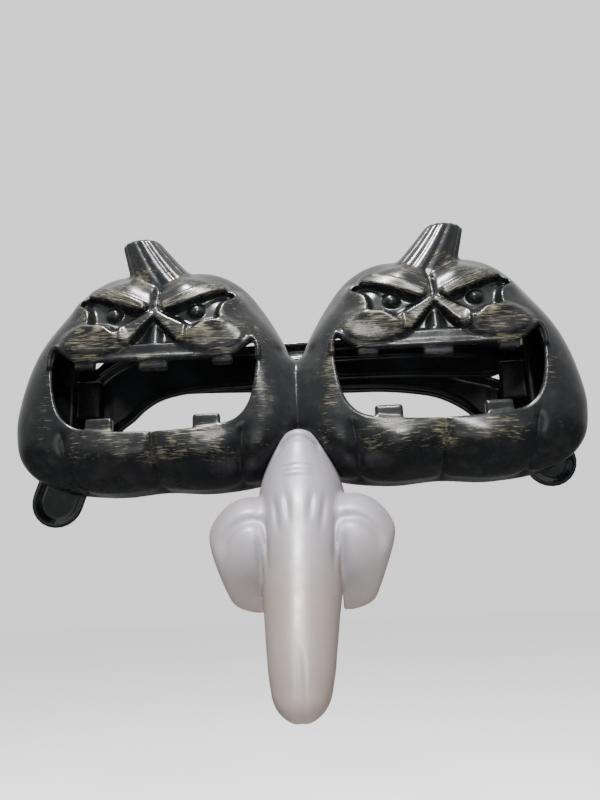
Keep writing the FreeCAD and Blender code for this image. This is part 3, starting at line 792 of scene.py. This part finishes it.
def zinc_steel():
    s = Surface("steel")
    grain = s.noise(s.scaled(s.place(), (2600.0, 2600.0, 400.0)), 1.0, 3.0)
    s.set(Base_Color=s.mix(grain, (0.46, 0.47, 0.49), (0.66, 0.67, 0.69)), Metallic=1.0,
          Roughness=s.span(grain, 0.3, 0.7, 0.24, 0.40))
    s.bump(grain, 0.2, 0.00008)
    return s.material


def pale_floor():
    s = Surface("floor")
    s.set(Base_Color=s.mix(s.noise(s.place(), 3.0, 2.0), (0.93, 0.93, 0.93), (0.96, 0.96, 0.96)),
          Roughness=0.9, Specular_IOR_Level=0.1)
    return s.material


# --------------------------------------------------------------------- camera and lighting

AIM = Vector((0.001, -0.024, -0.0045))
VIEW_AZIMUTH, VIEW_ELEVATION, VIEW_ROLL = 2.0, -15.0, -2.3
VIEW_DISTANCE = 0.2


def camera():
    data = bpy.data.cameras.new("camera")
    data.sensor_width = 36
    data.lens = 31.5
    obj = bpy.data.objects.new("camera", data)
    bpy.context.scene.collection.objects.link(obj)
    a, e, roll = map(math.radians, (VIEW_AZIMUTH, VIEW_ELEVATION, VIEW_ROLL))
    back = Vector((math.sin(a) * math.cos(e), -math.cos(a) * math.cos(e), math.sin(e)))
    right = Vector((math.cos(a), math.sin(a), 0))
    up = back.cross(right)
    x = right * math.cos(roll) + up * math.sin(roll)
    y = -right * math.sin(roll) + up * math.cos(roll)
    matrix = Matrix((x, y, back)).transposed().to_4x4()
    matrix.translation = AIM + back * VIEW_DISTANCE
    obj.matrix_world = matrix
    bpy.context.scene.camera = obj


def light(name, place, size, power):
    """Round soft light aimed at the object."""
    data = bpy.data.lights.new(name, "AREA")
    data.shape = "DISK"
    data.size = size
    data.energy = power
    obj = bpy.data.objects.new(name, data)
    obj.location = place
    obj.rotation_euler = (Vector((0, 0, 0)) - Vector(place)).to_track_quat("-Z", "Y").to_euler()
    bpy.context.scene.collection.objects.link(obj)


# Strength of the world as light, by the upward part of its direction, and as seen.
SKY_LIGHT = {"From Min": -0.2, "From Max": 0.8, "To Min": 0.10, "To Max": 1.5}
SEEN_STRENGTH = 1.25


def studio_world():
    """Pale wherever it is seen, but as a light it is bright above and dim below."""
    world = bpy.data.worlds.new("world")
    bpy.context.scene.world = world
    world.use_nodes = True
    tree = world.node_tree
    background = tree.nodes["Background"]
    coords = tree.nodes.new("ShaderNodeTexCoord")
    split = tree.nodes.new("ShaderNodeSeparateXYZ")
    span = tree.nodes.new("ShaderNodeMapRange")
    rays = tree.nodes.new("ShaderNodeLightPath")
    seen = tree.nodes.new("ShaderNodeMix")
    tree.links.new(coords.outputs["Generated"], split.inputs[0])
    tree.links.new(split.outputs["Z"], span.inputs["Value"])
    for key, value in SKY_LIGHT.items():
        span.inputs[key].default_value = value
    tree.links.new(rays.outputs["Is Camera Ray"], seen.inputs[0])
    tree.links.new(span.outputs["Result"], seen.inputs[2])
    seen.inputs[3].default_value = SEEN_STRENGTH
    tree.links.new(seen.outputs[0], background.inputs["Strength"])
    background.inputs["Color"].default_value = (1, 1, 1, 1)


def stage():
    studio_world()
    light("key", (-0.05, -0.24, 0.48), 0.085, 13.0)
    light("fill", (0.06, -0.46, 0.27), 0.06, 3.2)
    light("low", (0.0, -0.60, -0.10), 0.25, 0.5)
    bpy.ops.mesh.primitive_plane_add(size=6, location=(0, 0, -0.2))
    floor = bpy.context.object
    floor.name = "floor"
    floor.data.materials.append(pale_floor())
    floor.visible_glossy = False


# --------------------------------------------------------------------------------- assembly

def dress(piece, material, body, node):
    piece.data.materials.clear()
    piece.data.materials.append(material)
    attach(piece, body)
    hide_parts(node)


front = make_front()
brush_attributes(front)
dress(front, brushed_black(), FRONT, "front_frame")
dress(make_nose(), nose_plastic(), FRONT, "witch_nose")
black = glossy_black()
dress(make_arm("right"), black, ARM_RIGHT, "temple_arm_right")
dress(make_arm("left"), black, ARM_LEFT, "temple_arm_left")
steel = zinc_steel()
for name in ("hinge_pin_left", "hinge_pin_right", "nose_screw_left", "nose_screw_right"):
    part = bpy.data.objects[name]
    part.data.materials.clear()
    part.data.materials.append(steel)
camera()
stage()
